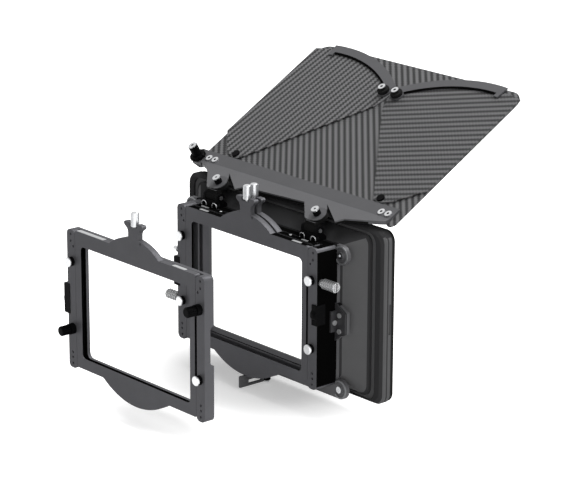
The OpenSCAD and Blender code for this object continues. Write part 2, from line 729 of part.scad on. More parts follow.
// carbon base plate
module flag_plate() color(carbon) difference() {
  on_flag() translate([0, 0, base_low_w]) linear_extrude(base_top_w - base_low_w) {
    translate([-flag_w / 2, margin_v + 8])
      square([flag_w, flag_far - margin_v - 8 - flag_corner]);
    translate([-flag_w / 2 + flag_corner, margin_v + 8])
      square([flag_w - 2 * flag_corner, flag_far - margin_v - 8]);
    for (s = [-1, 1])
      translate([s * (flag_w / 2 - flag_corner), flag_far - flag_corner])
        circle(flag_corner, $fn = 64);
    translate([-flag_w / 2, margin_v + 2.4]) square([flag_w, 10]);
    // near right corner, which shows past the bracket's end
    translate([metal_right + 0.4, margin_v]) square([flag_w / 2 - metal_right - 0.4, 4]);
    translate([metal_right + 0.4, margin_v - 5]) square([1.2, 6]);
    translate([flag_w / 2 - 5, margin_v]) circle(5, $fn = fn_round);
  }
  on_flag() for (p = plate_screws)
    translate([p[0], p[1], base_low_w - 1]) cylinder(r = 1.5, h = 6, $fn = fn_round);
  // corner cleared for the post's collar
  on_post() translate([0, 0, base_low_w - 1]) cylinder(r = wheel_r + 0.6, h = 6, $fn = fn_round);
  on_flag() for (s = [-1, 1]) {
    translate([s * pivot_x, pivot_v, base_low_w - 1]) cylinder(r = pivot_r, h = 6, $fn = fn_round);
  }
}
module flag_screws() color(steel) on_flag() for (p = plate_screws) translate([p[0], p[1], 0])
  difference() {
    union() {
      translate([0, 0, base_low_w]) cylinder(r = 1.5, h = plate_top_w - base_low_w, $fn = fn_round);
      translate([0, 0, plate_top_w]) cylinder(r = 3, h = 1, $fn = fn_round);
    }
    translate([0, 0, plate_top_w + 0.2]) cylinder(r = 1, h = 2, $fn = 6);
  }

// black cap bolts of the hinge lobes and their bright rings
cap_h = 4.6;
module on_lobe() for (s = [-1, 1])
  translate([s * hinge_x, lobe_y, lobe_z]) rotate([flag_tilt, 0, 0]) children();
module hinge_caps() color(black) on_lobe() cylinder(r = 3.1, h = cap_h, $fn = fn_round);
module hinge_cap_rings() color(steel) on_lobe() translate([0, 0, cap_h]) difference() {
  cylinder(r = 3.3, h = 1, $fn = fn_round);
  translate([0, 0, -1]) cylinder(r = 0.9, h = 4, $fn = fn_round);
}

// pivots of the wings
pivot_r = 2.2;
module wing_pivots() color(black) on_flag() for (s = [-1, 1]) translate([s * pivot_x, pivot_v, 0]) {
  translate([0, 0, base_low_w]) cylinder(r = pivot_r, h = wing_top_w + 0.3 - base_low_w, $fn = fn_round);
  translate([0, 0, wing_top_w + 0.3]) cylinder(r = 3.4, h = 1.2, $fn = fn_round);
}

// arc guides concentric with the wings' pivots, with a hooked outer end, a rim that stands
// on the base plate and a round inner end under the lock knob
arc_from = -5.6;
arc_to = 37;
rim_from = 13;
lock_r = 5.6;
lock_pin_r = 1.5;
module arc_sector(r0, r1, a0, a1) intersection() {
  difference() {
    circle(r1, $fn = 180);
    circle(r0, $fn = 180);
  }
  polygon([[0, 0], 300 * [sin(a0), cos(a0)], 300 * [sin((a0 + a1) / 2), cos((a0 + a1) / 2)],
    300 * [sin(a1), cos(a1)]]);
}
module arc_guide() {
  translate([-pivot_x, pivot_v, arc_low_w]) linear_extrude(arc_top_w - arc_low_w) {
    arc_sector(arc_in, arc_out, arc_from, arc_to);
    // hook at the outer end
    arc_sector(arc_in - 4, arc_out, arc_from - 0.1, arc_from + 2);
  }
  translate([-lock_x, lock_v, arc_low_w])
    cylinder(r = lock_r, h = arc_top_w - arc_low_w, $fn = fn_round);
  // rim that carries the guide on the base plate
  translate([-pivot_x, pivot_v, base_top_w]) linear_extrude(arc_low_w - base_top_w + e)
    arc_sector(wing_far + 0.6, arc_out, rim_from, arc_to + 0.4);
}
module arc_guides() color(anodised) on_flag() difference() {
  both() arc_guide();
  both() translate([-lock_x, lock_v, -20]) cylinder(r = lock_pin_r + run_gap, h = 30, $fn = fn_round);
}
module arc_knob(s) on_flag() translate([s * lock_x, lock_v, 0]) {
  translate([0, 0, arc_top_w + 0.3]) knurled(5.2, 2.6, 20);
  translate([0, 0, arc_top_w + 2.8]) cylinder(r = 3.2, h = 2.9, $fn = fn_round);
  // the screw's tip ends just over the wing
  translate([0, 0, arc_low_w + 0.05])
    cylinder(r = lock_pin_r, h = arc_top_w - arc_low_w + 1, $fn = fn_round);
}
module arc_knob_left() color(steel) arc_knob(-1);
module arc_knob_right() color(steel) arc_knob(1);

// swing-out carbon wing, seen from above: nose round the pivot, straight sides, and a far
// edge that runs under the arc guide
wing_side = 33.9;
wing_side_low = 21.3;
tip_turn = 36.2;
module wing_outline() {
  side_far = sqrt(wing_far * wing_far - wing_side * wing_side);
  tip = wing_far * [sin(tip_turn), cos(tip_turn)];
  difference() {
    union() {
      intersection() {
        circle(wing_far, $fn = 180);
        polygon([[-wing_side, wing_side_low], [-wing_side, side_far], [-wing_side, 150],
          [60, 150], tip + [2.6, 6], tip + [4.4, -9.4], [83, 89.4], [5.6, -3.2],
          [-3, -3.6], [-12.6, 0.8]]);
      }
      circle(wing_nose, $fn = fn_round);
    }
    circle(pivot_r + run_gap, $fn = fn_round);
  }
}
module wing() translate([-pivot_x, pivot_v, wing_low_w])
  linear_extrude(wing_top_w - wing_low_w) wing_outline();
module wing_left() color(carbon) on_flag() wing();
module wing_right() color(carbon) on_flag() mirror([1, 0, 0]) wing();

// post for a side flag on the bracket's left end, its clamp wheel over the plate and its
// tapered fluted collar under it
post_r = 3.2;
post_cap_r = 4;
post_top = 8.4;
post_low = -13;
wheel_r = 6.9;
wheel_low = plate_top_w + 0.3;
collar_top = base_top_w - 0.2;
flutes = 11;
module on_post() on_flag() translate([-post_x, post_v, 0]) children();
module side_post() color(black) on_post() {
  translate([0, 0, post_low]) cylinder(r = post_r, h = post_top - post_low, $fn = fn_round);
  translate([0, 0, wheel_low + 3.3]) cylinder(r = post_cap_r, h = post_top - wheel_low - 3.3, $fn = fn_round);
}
module side_post_ring() color(steel) on_post() translate([0, 0, post_top]) difference() {
  cylinder(r = post_cap_r - 0.3, h = 0.7, $fn = fn_round);
  translate([0, 0, -1]) cylinder(r = 1.1, h = 4, $fn = fn_round);
}
module side_post_wheel() color(black) on_post() translate([0, 0, wheel_low]) difference() {
  union() {
    cylinder(r = wheel_r, h = 2.2, $fn = fn_round);
    translate([0, 0, 2.2]) cylinder(r1 = wheel_r, r2 = wheel_r - 0.8, h = 0.8, $fn = fn_round);
  }
  for (i = [0:flutes - 1]) rotate([0, 0, 360 * i / flutes])
    translate([wheel_r + 0.3, 0, -1]) cylinder(r = 1.1, h = 6, $fn = 24);
  translate([0, 0, -1]) cylinder(r = post_r + run_gap, h = 8, $fn = fn_round);
}
module side_post_collar() color(black) on_post() difference() {
  translate([0, 0, post_low + 0.6])
    cylinder(r1 = 3.9, r2 = wheel_r - 0.5, h = collar_top - post_low - 0.6, $fn = fn_round);
  for (i = [0:flutes - 1]) rotate([0, 0, 360 * i / flutes])
    translate([4.2, 0, post_low + 0.6]) rotate([0, 20.5, 0])
      translate([0, 0, -2]) cylinder(r = 0.9, h = 14, $fn = 24);
  translate([0, 0, post_low - 1]) cylinder(r = post_r, h = 20, $fn = fn_round);
}

module_frame();
front_flange();
flange_screws();
ear_rings();
side_brackets();
side_bracket_screws();
hood();
hood_lip();
hinge_blocks();
hinge_pins();
hinge_block_screws();
module_studs();
module_stud_caps();
module_catch();
module_latch();
module_pull_pin();
side_screw_right();
side_screw_left();
foot_arm();
foot_stud();
foot_knob();
rear_tray();
rear_tray_knob();
front_tray();
front_tray_knob();
stage_frame();
stage_studs();
stage_stud_caps();
stage_bushes();
stage_latch();
stage_pull_pin();
stage_knob_upper();
stage_knob_lower();
stage_tray();
stage_tray_knob();
flag_bracket();
flag_plate();
flag_screws();
hinge_caps();
hinge_cap_rings();
wing_pivots();
arc_guides();
arc_knob_left();
arc_knob_right();
wing_left();
wing_right();
side_post();
side_post_ring();
side_post_collar();
side_post_wheel();
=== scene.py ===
# %% [markdown]
# # A studio matte box
# A matte box shades a film camera's lens and holds filters in front of it. The solids come
# from the CAD step with their real sizes and joints; this notebook gives every surface its
# real finish, paints shade and shadow into some places, and adds the fine pieces that only
# the eye needs. We start by loading the imported solids. They stay where they are, and
# everything else is placed against them.

# %% Load the imported solids
import math
import bpy
from mathutils import Euler, Matrix, Vector


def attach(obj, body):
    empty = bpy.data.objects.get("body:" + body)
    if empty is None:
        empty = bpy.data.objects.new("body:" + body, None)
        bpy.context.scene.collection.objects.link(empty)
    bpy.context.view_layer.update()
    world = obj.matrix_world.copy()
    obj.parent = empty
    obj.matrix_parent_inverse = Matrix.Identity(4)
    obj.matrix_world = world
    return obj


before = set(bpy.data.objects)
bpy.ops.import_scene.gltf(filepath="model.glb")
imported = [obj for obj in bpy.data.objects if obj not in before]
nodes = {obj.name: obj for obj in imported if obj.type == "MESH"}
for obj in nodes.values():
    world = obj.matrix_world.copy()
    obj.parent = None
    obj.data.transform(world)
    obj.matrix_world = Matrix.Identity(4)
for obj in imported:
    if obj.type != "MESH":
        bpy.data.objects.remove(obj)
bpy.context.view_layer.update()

MM = 0.001

# %% [markdown]
# ## The photographer's eye
# The camera stands behind the matte box and to its right, about two metres away, with a
# long lens, so parallel edges stay nearly parallel. Its turn, height and small roll were
# fitted to the frame corners in the photograph, and depth of field stays off.

# %% Place the camera
CAMERA_TURN = 48.994
CAMERA_HEIGHT = 16.961
CAMERA_ROLL = 0.2557
CAMERA_PLACE = Vector((1.51706, -1.27205, 0.64124))
SENSOR_MM = 36
IMAGE_W = 580
FOCAL_PX = 2616.95

bpy.ops.object.select_all(action="DESELECT")
bpy.ops.object.camera_add(location=CAMERA_PLACE)
camera = bpy.context.object
looking = Euler((math.radians(90 - CAMERA_HEIGHT), 0, math.radians(CAMERA_TURN))).to_matrix()
rolled = looking @ Matrix.Rotation(math.radians(CAMERA_ROLL), 3, "Z")
camera.rotation_euler = rolled.to_euler()
camera.data.sensor_width = SENSOR_MM
camera.data.lens = FOCAL_PX / IMAGE_W * SENSOR_MM
camera.data.dof.use_dof = False
camera.data.clip_end = 50
bpy.context.scene.camera = camera
print("lens", round(camera.data.lens, 1), "mm")

# %% [markdown]
# ## Helpers for materials
# Colours are written as the sRGB hex values that a colour picker shows, and one function
# turns them to the linear numbers that the shader wants. A second small function adds a
# node with its settings and its links, so that each material below reads as a recipe.

# %% Colour and node helpers
def srgb(hex_code):
    """linear RGBA of a hex colour such as #3c3c3e"""
    channels = [int(hex_code[i:i + 2], 16) / 255 for i in (1, 3, 5)]
    linear = [c / 12.92 if c <= 0.04045 else ((c + 0.055) / 1.055) ** 2.4 for c in channels]
    return (*linear, 1)


def add(tree, kind, settings=None, links=None):
    """a new node; settings are its own options or input values, links feed its inputs"""
    node = tree.nodes.new(kind)
    for name, value in (settings or {}).items():
        if isinstance(name, str) and hasattr(node, name):
            setattr(node, name, value)
        else:
            node.inputs[name].default_value = value
    for name, source in (links or {}).items():
        tree.links.new(source, node.inputs[name])
    return node


def maths(tree, kind, *terms):
    """one sum or comparison of numbers or links"""
    links = {i: v for i, v in enumerate(terms) if not isinstance(v, float)}
    values = {i: v for i, v in enumerate(terms) if isinstance(v, float)}
    return add(tree, "ShaderNodeMath", {"operation": kind, **values}, links).outputs[0]


def new_material(name):
    """an empty material and its node tree"""
    material = bpy.data.materials.new(name)
    material.use_nodes = True
    material.node_tree.nodes.clear()
    return material, material.node_tree


# %% [markdown]
# ## Metal, plastic and rubber
# Most of the matte box is aluminium, blasted with fine beads and then anodised in dark
# grey or black: the blasting leaves a grain of a few tenths of a millimetre, and the oxide
# skin scatters the light softly. The moulded shade has a coarser leather-like grain, the
# rubber lip none that shows. They share one recipe: two tones that drift over the
# surface, a roughness that varies a little, and a bump from the grain. A second colour
# can lie in some places, which the next cell describes: in a few it is a tone of the
# part, and in most it is painted shade.

# %% A recipe for grained surfaces
ROUGH_SWING = 0.06


def grained(name, light, dark, metallic, rough, grain_mm, depth_mm, drift_mm=18, spec=0.5,
            tone_and_shade=None, tone_and_shade_where=None):
    """surface of two near tones, with a bump grain_mm wide and depth_mm deep; where the mask
    function gives 1, the colour is the second one, which is a tone of the part in some
    places and painted shade in others"""
    material, tree = new_material(name)
    coords = add(tree, "ShaderNodeTexCoord")
    place = coords.outputs["Object"]
    drift = add(tree, "ShaderNodeTexNoise", {"Scale": 1 / (drift_mm * MM), "Detail": 3.0},
                {"Vector": place})
    tone = add(tree, "ShaderNodeMix", {"data_type": "RGBA", 6: srgb(dark), 7: srgb(light)},
               {0: drift.outputs["Fac"]})
    if tone_and_shade_where:
        where = tone_and_shade_where(tree, place, coords.outputs["Normal"])
        tone = add(tree, "ShaderNodeMix", {"data_type": "RGBA", 7: srgb(tone_and_shade)},
                   {0: where, 6: tone.outputs[2]})
    grain = add(tree, "ShaderNodeTexNoise", {"Scale": 1 / (grain_mm * MM), "Detail": 2.0},
                {"Vector": place})
    matt = add(tree, "ShaderNodeMapRange",
               {"To Min": rough - ROUGH_SWING, "To Max": rough + ROUGH_SWING},
               {"Value": grain.outputs["Fac"]})
    bump = add(tree, "ShaderNodeBump", {"Strength": 0.6, "Distance": depth_mm * MM},
               {"Height": grain.outputs["Fac"]})
    links = {"Base Color": tone.outputs[2], "Roughness": matt.outputs["Result"],
             "Normal": bump.outputs["Normal"]}
    if tone_and_shade_where:
        # the places of the second colour, mostly painted shade, are quite matt, and no metal
        # shows there
        links["Roughness"] = maths(tree, "MAXIMUM", matt.outputs["Result"], where)
        bare = maths(tree, "SUBTRACT", 1.0, where)
        links["Metallic"] = maths(tree, "MULTIPLY", bare, metallic)
    skin = add(tree, "ShaderNodeBsdfPrincipled",
               {"Metallic": metallic, "Specular IOR Level": spec}, links)
    add(tree, "ShaderNodeOutputMaterial", {}, {"Surface": skin.outputs["BSDF"]})
    return material


# %% [markdown]
# ## Places of a second colour
# Some solids have a second colour in some places. Few of these are a tone of the part: the
# front flange is black between its ears, and the lock knobs are black below their rim. The
# walls of the rear trays' windows are part their black inside and part painted shade. The
# rest is painted shade: a painted shadow of the flag on the module's tray and rail tops,
# and painted shade on the module's outer sides, in the gaps between trays and right rails,
# on the lens shade's upper faces, root and shoulder, under the flag's bracket plate, in
# screw sockets and in knurl grooves. Each such place is a small function of the point on
# the solid and the direction that its surface faces, and gives 1 where the second colour
# lies. The flag was built lying flat and then tilted, so its places are found in a frame
# that is tilted with it.

# %% Masks of the second colours
# least part of a normal along an axis, for a surface that faces that way or lies flat
FACING = 0.5
LIES_FLAT = 0.9

# frames and trays; all places are in metres, in the shared frame
SKIN = 0.4 * MM
WINDOW_HALF_W = 72.3 * MM
WINDOW_HALF_H = 51.3 * MM
# beyond this the module's outer sides get painted shade
MODULE_SIDE = 85.8 * MM
FRONT_PLATE = 21 * MM
STAGE_REAR = -111.2 * MM
STAGE_PLATE = STAGE_REAR + 6.2 * MM
TRAY_DEEP = 5.3 * MM
RAIL_TOP = 57.5 * MM
RAIL_EDGE = 2.5 * MM
# painted shadow of the flag on the module's flat tray tops and right rail top
TRAY_TOP_X = (10 * MM, 72 * MM)
RAIL_TOP_X = (72 * MM, 87 * MM)
# painted shade in the gaps between the trays and the right rails
GAP_Z = (-23.2 * MM, 25.8 * MM)
STAGE_GAP_X = (73.9 * MM, 76.4 * MM)
MODULE_GAP_X = (73.4 * MM, 75.6 * MM)
MODULE_GAP_Y = (-SKIN, 3 * MM)

# the flared shade, along the lens axis: painted shade at its root and in its shoulder, and two
# dark lines round its rim
SHADE_ROOT = (22 * MM, 24.6 * MM)
SHADE_SHOULDER = (36.6 * MM, 39.4 * MM)
SHADE_LINES = ((42.4 * MM, 43.6 * MM), (46.6 * MM, 47.4 * MM))

# the flag's bracket, its screws and the lock knobs, in the two tilted frames: painted shade
# under the plate and in the screw sockets, and the knobs' black below the boss
PLATE_TILT = math.radians(10.9)
PLATE_CORNER = (0, 14 * MM, 72.35 * MM)
KNUCKLE_TOP = -1.2 * MM
KNUCKLE_FRONT = 25 * MM
FLAG_TILT = math.radians(29.8)
HINGE_LINE = (0, 17.5 * MM, 65.5 * MM)
LOBE_X = (52 * MM, 68.4 * MM)
LOBE_Y = (2 * MM, 17.6 * MM)
LOBE_TOP = 5.9 * MM
PLATE_SCREW_X = (101.0 * MM, 108.6 * MM)
PLATE_SCREW_Y = 38.2 * MM
PLATE_SOCKET_R = 1.1 * MM
LOCK_X = 7.8 * MM
LOCK_Y = 156.7 * MM
LOCK_BOSS = 2.2 * MM
LOCK_SOCKET_R = 1.2 * MM

# the front flange
EAR_X = 85.8 * MM
EAR_Z = 44 * MM
FLANGE_WINDOW_HALF_W = 75 * MM
FLANGE_WINDOW_HALF_H = 54.2 * MM

# the knurled side screws, with painted shade in their grooves
SIDE_SCREW_Y = 4.2 * MM
SIDE_SCREW_RIGHT_Z = 30.2 * MM
SIDE_SCREW_LEFT_Z = -24.7 * MM
KNURL_GROOVES = 18
KNURL_PITCH = 2.2 * MM
KNURL_GROOVE_PART = 0.34


def within(tree, value, span):
    """1 where the value lies in span = (low, high)"""
    low, high = span
    return maths(tree, "MULTIPLY", maths(tree, "GREATER_THAN", value, low),
                 maths(tree, "LESS_THAN", value, high))


def any_of(tree, *masks):
    """1 where one of the masks is 1"""
    mask = masks[0]
    for other in masks[1:]:
        mask = maths(tree, "MAXIMUM", mask, other)
    return mask


def all_of(tree, *masks):
    """1 where each of the masks is 1"""
    mask = masks[0]
    for other in masks[1:]:
        mask = maths(tree, "MULTIPLY", mask, other)
    return mask


def split(tree, vector):
    """the X, Y and Z of a vector"""
    return add(tree, "ShaderNodeSeparateXYZ", {}, {"Vector": vector}).outputs


def split_tilted(tree, place, origin, tilt):
    """X, Y and Z of the place in a frame at origin that is tilted about X"""
    laid = add(tree, "ShaderNodeMapping",
               {"vector_type": "TEXTURE", "Location": origin, "Rotation": (tilt, 0, 0)},
               {"Vector": place})
    return split(tree, laid.outputs["Vector"])


def away_from(tree, point, x, y):
    """distance of a point from the upright axes at x and -x"""
    across = maths(tree, "SUBTRACT", maths(tree, "ABSOLUTE", point["X"]), x)
    along = maths(tree, "SUBTRACT", point["Y"], y)
    return maths(tree, "SQRT", maths(tree, "MULTIPLY_ADD", across, across,
                                     maths(tree, "MULTIPLY", along, along)))


def black_walls_and_painted_shade(tree, place, normal):
    """frames and trays: the walls of the rear trays' windows, part black inside and part
    painted shade; painted shade on the module's outer sides; a painted shadow of the flag on
    the flat tops of its trays and right rail; and painted shade in the gaps between trays
    and right rails"""
    at, facing = split(tree, place), split(tree, normal)
    x, y, z = at["X"], at["Y"], at["Z"]
    across, high = maths(tree, "ABSOLUTE", x), maths(tree, "ABSOLUTE", z)
    stage_tray = within(tree, y, (STAGE_REAR + SKIN, STAGE_PLATE))
    rear_tray = within(tree, y, (SKIN, TRAY_DEEP))
    # the window walls: part black inside, part painted shade
    walls = all_of(tree, maths(tree, "LESS_THAN", across, WINDOW_HALF_W),
                   maths(tree, "LESS_THAN", high, WINDOW_HALF_H),
                   any_of(tree, stage_tray, rear_tray))
    # painted shade on the module's outer sides
    sides = all_of(tree, maths(tree, "GREATER_THAN", across, MODULE_SIDE),
                   maths(tree, "GREATER_THAN", maths(tree, "ABSOLUTE", facing["X"]), FACING))
    # painted shadow of the flag on the flat tops of the module's trays and right rail
    tray_tops = all_of(tree, maths(tree, "GREATER_THAN", facing["Z"], LIES_FLAT),
                       within(tree, y, (-SKIN, FRONT_PLATE)),
                       within(tree, across, TRAY_TOP_X))
    rail_top = all_of(tree, within(tree, y, (RAIL_EDGE, FRONT_PLATE)),
                      within(tree, x, RAIL_TOP_X))
    tops = all_of(tree, within(tree, z, (RAIL_TOP - SKIN, RAIL_TOP + SKIN)),
                  any_of(tree, tray_tops, rail_top))
    # painted shade in the gaps between the trays and the right rails
    stage_gap = all_of(tree, within(tree, x, STAGE_GAP_X),
                       within(tree, y, (STAGE_REAR - SKIN, STAGE_PLATE)))
    module_gap = all_of(tree, within(tree, x, MODULE_GAP_X), within(tree, y, MODULE_GAP_Y))
    gaps = all_of(tree, within(tree, z, GAP_Z), any_of(tree, stage_gap, module_gap))
    return any_of(tree, walls, sides, tops, gaps)


def hood_painted_shade(tree, place, normal):
    """the lens shade: painted shade on its upper faces, whose edge paints a sharp upper corner
    where the solid is rounded, a fine line of painted shade at its root, painted shade on the
    shoulder behind its rim, and two fine dark lines round the rim"""
    y = split(tree, place)["Y"]
    # painted shade where the surface faces upwards
    upper = maths(tree, "GREATER_THAN", split(tree, normal)["Z"], FACING)
    bands = [within(tree, y, band) for band in (SHADE_ROOT, SHADE_SHOULDER, *SHADE_LINES)]
    return any_of(tree, upper, *bands)


def painted_shade_under_plate(tree, place, normal):
    """painted shade under the flag's bracket plate: on its knuckles and the skirts of its
    lobes
    """
    at = split_tilted(tree, place, PLATE_CORNER, PLATE_TILT)
    knuckles = all_of(tree, maths(tree, "LESS_THAN", at["Z"], KNUCKLE_TOP),
                      maths(tree, "LESS_THAN", at["Y"], KNUCKLE_FRONT))
    at = split_tilted(tree, place, HINGE_LINE, FLAG_TILT)
    flag_up = (0, -math.sin(FLAG_TILT), math.cos(FLAG_TILT))
    up = add(tree, "ShaderNodeVectorMath", {"operation": "DOT_PRODUCT", 1: flag_up},
             {0: normal})
    skirts = all_of(tree, within(tree, maths(tree, "ABSOLUTE", at["X"]), LOBE_X),
                    within(tree, at["Y"], LOBE_Y),
                    maths(tree, "LESS_THAN", at["Z"], LOBE_TOP),
                    maths(tree, "LESS_THAN", up.outputs["Value"], FACING))
    return any_of(tree, knuckles, skirts)


def shade_in_sockets(tree, place, normal):
    """the four screws of the flag's bracket: painted shade in their sockets"""
    at = split_tilted(tree, place, HINGE_LINE, FLAG_TILT)
    return any_of(tree, *[
        maths(tree, "LESS_THAN", away_from(tree, at, x, PLATE_SCREW_Y), PLATE_SOCKET_R)
        for x in PLATE_SCREW_X])


def black_below_boss_and_socket_shade(tree, place, normal):
    """the lock knobs: black below the bright rim of the boss, and painted shade in its socket
    """
    at = split_tilted(tree, place, HINGE_LINE, FLAG_TILT)
    return any_of(tree, maths(tree, "LESS_THAN", at["Z"], LOCK_BOSS),
                  maths(tree, "LESS_THAN", away_from(tree, at, LOCK_X, LOCK_Y), LOCK_SOCKET_R))


def between_the_ears(tree, place, normal):
    """the front flange: all but its four ears, its foot, its outer edges and the walls of
    its window"""
    at = split(tree, place)
    across, high = maths(tree, "ABSOLUTE", at["X"]), maths(tree, "ABSOLUTE", at["Z"])
    upper = maths(tree, "GREATER_THAN", at["Z"], 0.0)
    middle = any_of(tree, maths(tree, "LESS_THAN", high, EAR_Z),
                    all_of(tree, maths(tree, "LESS_THAN", across, EAR_X), upper))
    wall = all_of(tree, maths(tree, "LESS_THAN", across, FLANGE_WINDOW_HALF_W),
                  maths(tree, "LESS_THAN", high, FLANGE_WINDOW_HALF_H))
    facing_x = maths(tree, "ABSOLUTE", split(tree, normal)["X"])
    edge = maths(tree, "GREATER_THAN", facing_x, FACING)
    return maths(tree, "GREATER_THAN", middle, any_of(tree, wall, edge))


def knurl(axis_y, axis_z):
    """mask function of a knurled head round an axis that runs along X: painted shade in its
    grooves
    """
    def grooves(tree, place, normal):
        at = split(tree, place)
        y = maths(tree, "SUBTRACT", at["Y"], axis_y)
        z = maths(tree, "SUBTRACT", at["Z"], axis_z)
        turn = maths(tree, "MULTIPLY", maths(tree, "ARCTAN2", z, y),
                     KNURL_GROOVES / (2 * math.pi))
        run = maths(tree, "DIVIDE", at["X"], KNURL_PITCH)
        ways = [maths(tree, "FRACT", maths(tree, way, turn, run))
                for way in ("ADD", "SUBTRACT")]
        return any_of(tree, *[maths(tree, "LESS_THAN", way, KNURL_GROOVE_PART)
                              for way in ways])
    return grooves


# %% [markdown]
# ## The finishes by name
# Each finish is two near tones, how metallic and how rough it is, the width and depth of
# its grain in millimetres, and the second colour with its place. The knurled heads of the
# two side screws have painted shade in two sets of fine grooves that wind round the head in
# opposite ways, darker on the left screw than on the right.

# %% Anodised, moulded and turned finishes
# dark grey frames and trays, with black window walls and painted shade and shadow in the
# places of their mask
anodised_grey = grained(
    "anodised_aluminium_dark_grey", "#5c5c5f", "#545457", 0.3, 0.48, 0.5, 0.02, spec=0.0,
    tone_and_shade="#080808", tone_and_shade_where=black_walls_and_painted_shade)
# the flag's bracket, with painted shade under its plate
anodised_bracket = grained(
    "anodised_aluminium_mid_grey", "#59595b", "#525254", 0.3, 0.5, 0.5, 0.02, spec=0.1,
    tone_and_shade="#101010", tone_and_shade_where=painted_shade_under_plate)
anodised_flange = grained(
    "anodised_aluminium_black_and_grey", "#5f5f61", "#575759", 0.3, 0.5, 0.5, 0.02,
    spec=0.1, tone_and_shade="#0c0c0d", tone_and_shade_where=between_the_ears)
anodised_guide = grained(
    "anodised_aluminium_guide", "#59595b", "#525254", 0.3, 0.5, 0.5, 0.02, spec=0.1)
anodised_ring = grained(
    "anodised_aluminium_light_ring", "#808183", "#747577", 0.4, 0.42, 0.5, 0.02, spec=0.3)
anodised_black = grained(
    "anodised_aluminium_black", "#0c0c0d", "#080809", 0.0, 0.42, 0.5, 0.02, spec=0.02)
anodised_smoke = grained(
    "anodised_aluminium_smoke", "#3a3a3c", "#323234", 0.2, 0.42, 0.5, 0.02, spec=0.2)
label_aluminium = grained(
    "brushed_aluminium_satin", "#b9babb", "#a9aaab", 0.7, 0.42, 0.3, 0.01, spec=0.4)
# moulded shade, with painted shade on its upper faces, root and shoulder, and dark lines round
# its rim
moulded_shade = grained(
    "moulded_abs_black_grained", "#5c5c5d", "#555556", 0.0, 0.66, 0.9, 0.06, spec=0.05,
    tone_and_shade="#363637", tone_and_shade_where=hood_painted_shade)
soft_rubber = grained(
    "soft_rubber_black", "#111111", "#0d0d0d", 0.0, 0.75, 0.8, 0.03, spec=0.1)
# black strip under the arc guides: painted shade in the gap there
black_shade_strip = grained(
    "black_strip_painted_shade", "#0d0d0d", "#070707", 0.0, 0.9, 0.4, 0.08, spec=0.0)


def marked_steel(name, tone_and_shade, tone_and_shade_where):
    """bright turned steel with dark places: painted shade in sockets and grooves, and black
    below the lock knobs' rim
    """
    return grained(name, "#d6d7d8", "#c4c5c7", 1.0, 0.32, 0.5, 0.01, spec=0.2,
                   tone_and_shade=tone_and_shade, tone_and_shade_where=tone_and_shade_where)


# bright steel screws with painted shade in their sockets
socket_screw_steel = marked_steel("turned_steel_with_dark_socket", "#202021", shade_in_sockets)
# lock knobs black below their bright rim, with painted shade in the socket
lock_knob_steel = marked_steel("turned_steel_blackened_below", "#101010", black_below_boss_and_socket_shade)
# painted shade in the knurl grooves; the left screw's grooves are darker than the right one's
knurled_right = marked_steel("knurled_stainless_steel_right", "#646465",
                             knurl(SIDE_SCREW_Y, SIDE_SCREW_RIGHT_Z))
knurled_left = marked_steel("knurled_stainless_steel_left", "#3c3c3d",
                            knurl(SIDE_SCREW_Y, SIDE_SCREW_LEFT_Z))

# %% [markdown]
# ## Turned steel
# The thumb screws, stud caps and rings are turned from stainless steel. A lathe tool
# leaves lines of about a tenth of a millimetre, too fine for this picture, so they are
# drawn as coarse as half a millimetre and only change the roughness and a faint bump.

# %% Bright turned steel
STEEL_LINES = 0.5 * MM
STEEL_BUMP = 0.01 * MM
STEEL_ROUGH = (0.22, 0.38)

bright_steel, tree = new_material("turned_stainless_steel")
place = add(tree, "ShaderNodeTexCoord").outputs["Object"]
lines = add(tree, "ShaderNodeTexNoise", {"Scale": 1 / STEEL_LINES, "Detail": 2.0},
            {"Vector": place})
tone = add(tree, "ShaderNodeMix",
           {"data_type": "RGBA", 6: srgb("#bcbdbf"), 7: srgb("#d6d7d8")},
           {0: lines.outputs["Fac"]})
matt = add(tree, "ShaderNodeMapRange", {"To Min": STEEL_ROUGH[0], "To Max": STEEL_ROUGH[1]},
           {"Value": lines.outputs["Fac"]})
bump = add(tree, "ShaderNodeBump", {"Strength": 0.4, "Distance": STEEL_BUMP},
           {"Height": lines.outputs["Fac"]})
skin = add(tree, "ShaderNodeBsdfPrincipled", {"Metallic": 1.0},
           {"Base Color": tone.outputs[2], "Roughness": matt.outputs["Result"],
            "Normal": bump.outputs["Normal"]})
add(tree, "ShaderNodeOutputMaterial", {}, {"Surface": skin.outputs["BSDF"]})

# %% [markdown]
# ## Carbon fibre twill
# The flag is cut from carbon plate. Flat tows of fibre cross over two and under two, and
# each row is shifted by one, which gives the diagonal stripes. The tows that run one way
# catch the light, and the others stay dark: this sheen is painted into the colour, as a
# light tone on the tows one way and a dark tone on the others, with its own two tones for
# each plate. The tow width follows from the stripes in the photograph: 1.8 mm in the base
# plate and 2 mm in the wings, and each plate was cut from its sheet at another angle.

# %% Twill laid out along the flag
TWILL_REPEAT = 4.0
TWILL_FIBRES = 6.0
TWILL_STREAKS = (0.86, 1.14)
TWILL_DEEP = 0.06 * MM


